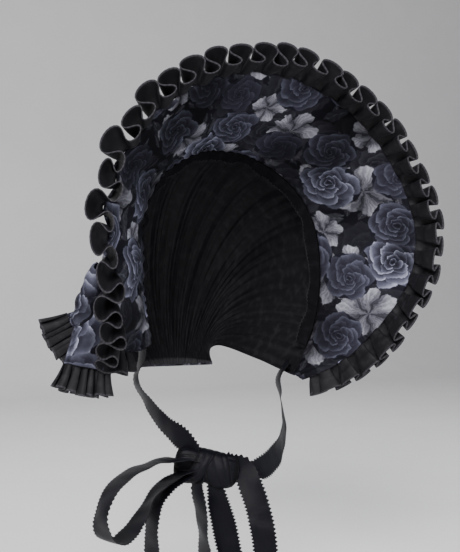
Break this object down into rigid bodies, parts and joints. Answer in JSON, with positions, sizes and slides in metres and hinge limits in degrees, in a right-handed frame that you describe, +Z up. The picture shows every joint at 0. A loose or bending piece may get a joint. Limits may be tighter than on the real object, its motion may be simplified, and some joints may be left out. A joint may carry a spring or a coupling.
{
  "type": "bonnet headdress",
  "caption": "Bonnet headdress with a wide printed brim round the face, black fluted edge frill, soft gathered crown, satin ties knotted under the jaw and a cloth bow at one side",
  "frame": {"origin": "the place inside the crown where the top of the wearer's head bears", "axes": "+Z up, the wearer faces -Y and the wearer's right is -X"},
  "size_m": [0.2665, 0.1962, 0.3663],
  "materials": {
    "rose_print_cloth": "black cotton satin printed with grey and blue roses",
    "black_lining_cloth": "matt black cotton lining with pinked raw edges",
    "black_frill_cloth": "matt black cotton, fluted and hemmed",
    "black_satin_ribbon": "black satin ribbon with picot edges"
  },
  "bodies": {
    "root": {"crown": "rose_print_cloth", "brim": "rose_print_cloth", "side_bow_knot": "rose_print_cloth", "side_bow_loop_front": "rose_print_cloth", "side_bow_loop_back": "rose_print_cloth", "side_bow_tail_front": "rose_print_cloth", "side_bow_tail_back": "rose_print_cloth", "seam_allowance": "black_lining_cloth", "edge_frill": "black_frill_cloth", "side_bow_trim_front": "black_frill_cloth", "side_bow_trim_back": "black_frill_cloth", "strap_right": "black_satin_ribbon", "strap_left": "black_satin_ribbon", "tie_loop_right": "black_satin_ribbon", "tie_loop_left": "black_satin_ribbon", "tie_tail_right": "black_satin_ribbon", "tie_tail_left": "black_satin_ribbon", "tie_knot": "black_satin_ribbon"}
  },
  "joints": []
}
